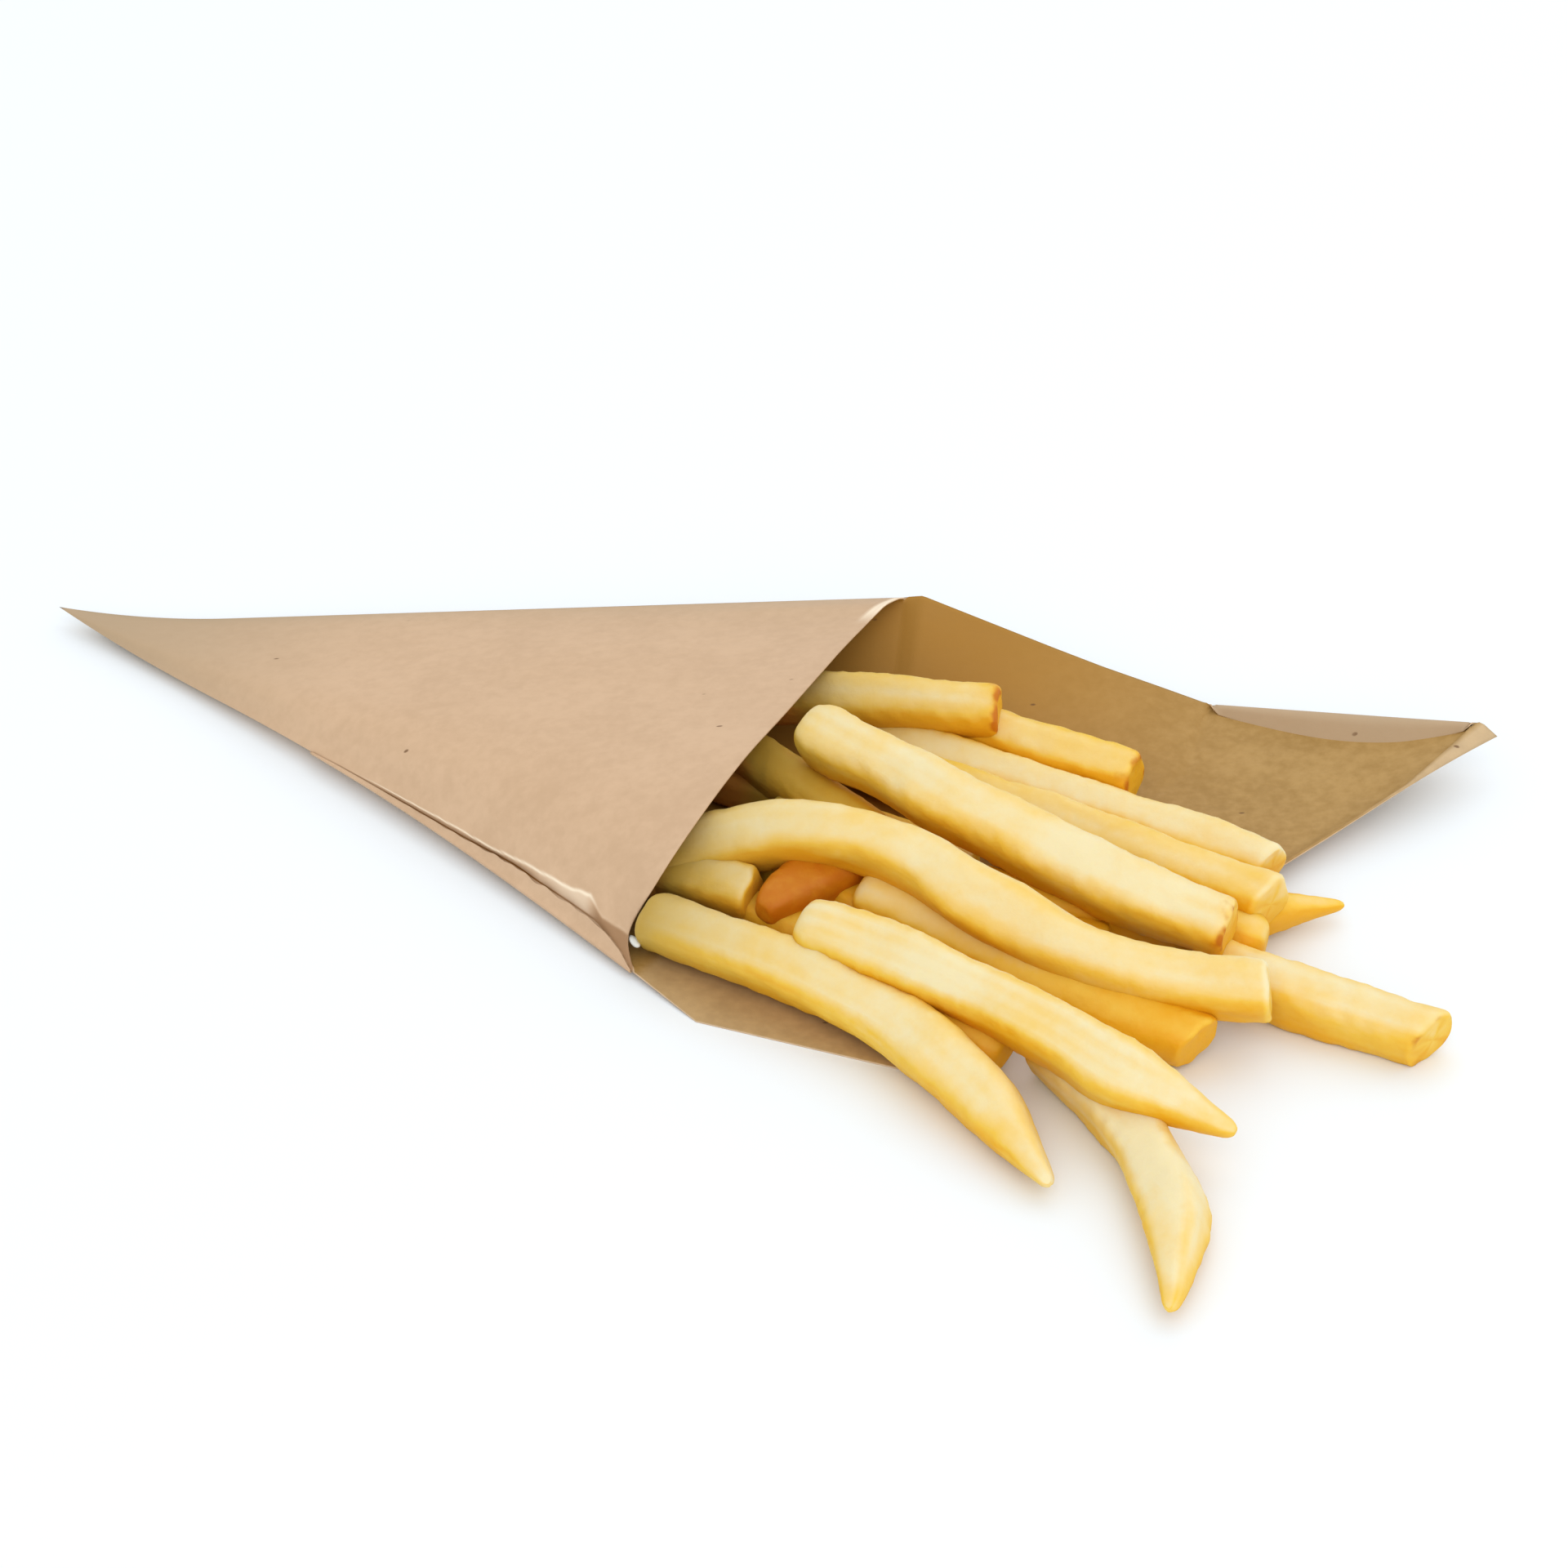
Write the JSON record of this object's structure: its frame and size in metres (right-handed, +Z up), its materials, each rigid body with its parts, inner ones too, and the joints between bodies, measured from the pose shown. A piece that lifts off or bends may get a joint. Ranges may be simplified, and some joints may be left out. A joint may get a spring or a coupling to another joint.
{
  "type": "fries in a paper cone",
  "caption": "Cone rolled from kraft paper lying on its side, its flap open under thick-cut fries that spill out of the mouth.",
  "frame": {"origin": "on the table under the middle of the bounding box", "axes": "+X from the cone's tip towards the flap's corner, +Y to the far side of the fold, +Z up from the table"},
  "size_m": [0.244, 0.1812, 0.0221],
  "materials": {
    "kraft_paper": "matt brown kraft paper with a slight gloss where it is creased",
    "fried_potato": null
  },
  "bodies": {
    "root": {"paper_cone": "kraft_paper", "fries_heap": "fried_potato"}
  },
  "joints": []
}
